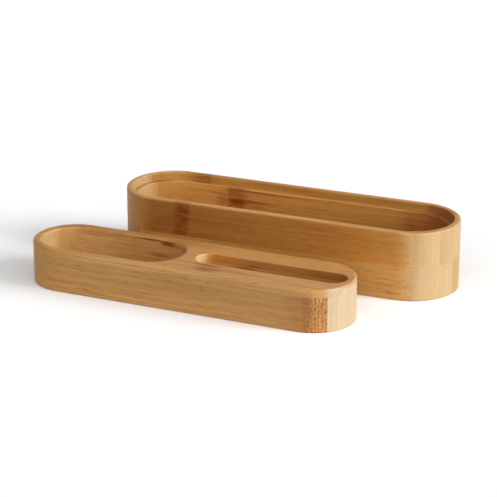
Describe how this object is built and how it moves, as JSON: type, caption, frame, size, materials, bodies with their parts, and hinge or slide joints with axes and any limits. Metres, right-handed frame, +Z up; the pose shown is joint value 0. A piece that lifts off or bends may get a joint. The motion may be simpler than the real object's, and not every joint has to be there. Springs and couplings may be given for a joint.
{
  "type": "pen tray",
  "caption": "Bamboo pen box with rounded ends and a stepped rim, and a lid tray that lifts off, with a pocket for small things and a slot for a phone or cards.",
  "frame": {"origin": "centre of the box's underside, on the surface that it stands on", "axes": "+X along the box's length, +Y from the lid tray towards the box, +Z up"},
  "size_m": [0.2505, 0.13, 0.044],
  "materials": {
    "box_lower_bamboo": "clear satin",
    "box_upper_bamboo": "clear satin",
    "tray_core_bamboo": "clear satin",
    "tray_top_bamboo": "clear satin"
  },
  "bodies": {
    "box": {"box_lower_strip_1": "box_lower_bamboo", "box_lower_strip_2": "box_lower_bamboo", "box_lower_strip_3": "box_lower_bamboo", "box_lower_strip_4": "box_lower_bamboo", "box_lower_strip_5": "box_lower_bamboo", "box_lower_strip_6": "box_lower_bamboo", "box_lower_strip_7": "box_lower_bamboo", "box_upper_strip_1": "box_upper_bamboo", "box_upper_strip_2": "box_upper_bamboo", "box_upper_strip_3_left": "box_upper_bamboo", "box_upper_strip_3_right": "box_upper_bamboo", "box_upper_strip_4_left": "box_upper_bamboo", "box_upper_strip_4_right": "box_upper_bamboo", "box_upper_strip_5_left": "box_upper_bamboo", "box_upper_strip_5_right": "box_upper_bamboo", "box_upper_strip_6": "box_upper_bamboo", "box_upper_strip_7": "box_upper_bamboo"},
    "lid_tray": {"tray_core_strip_1": "tray_core_bamboo", "tray_core_strip_2": "tray_core_bamboo", "tray_core_strip_3": "tray_core_bamboo", "tray_core_strip_4": "tray_core_bamboo", "tray_core_strip_5": "tray_core_bamboo", "tray_core_strip_6": "tray_core_bamboo", "tray_top_strip_1": "tray_top_bamboo", "tray_top_strip_2_left": "tray_top_bamboo", "tray_top_strip_2_right": "tray_top_bamboo", "tray_top_strip_3": "tray_top_bamboo"}
  },
  "joints": [
    {"name": "tray_lift", "type": "slide", "parent": "box", "child": "lid_tray", "axis": [0, 0, 1], "range_m": [0, 0.05]}
  ]
}
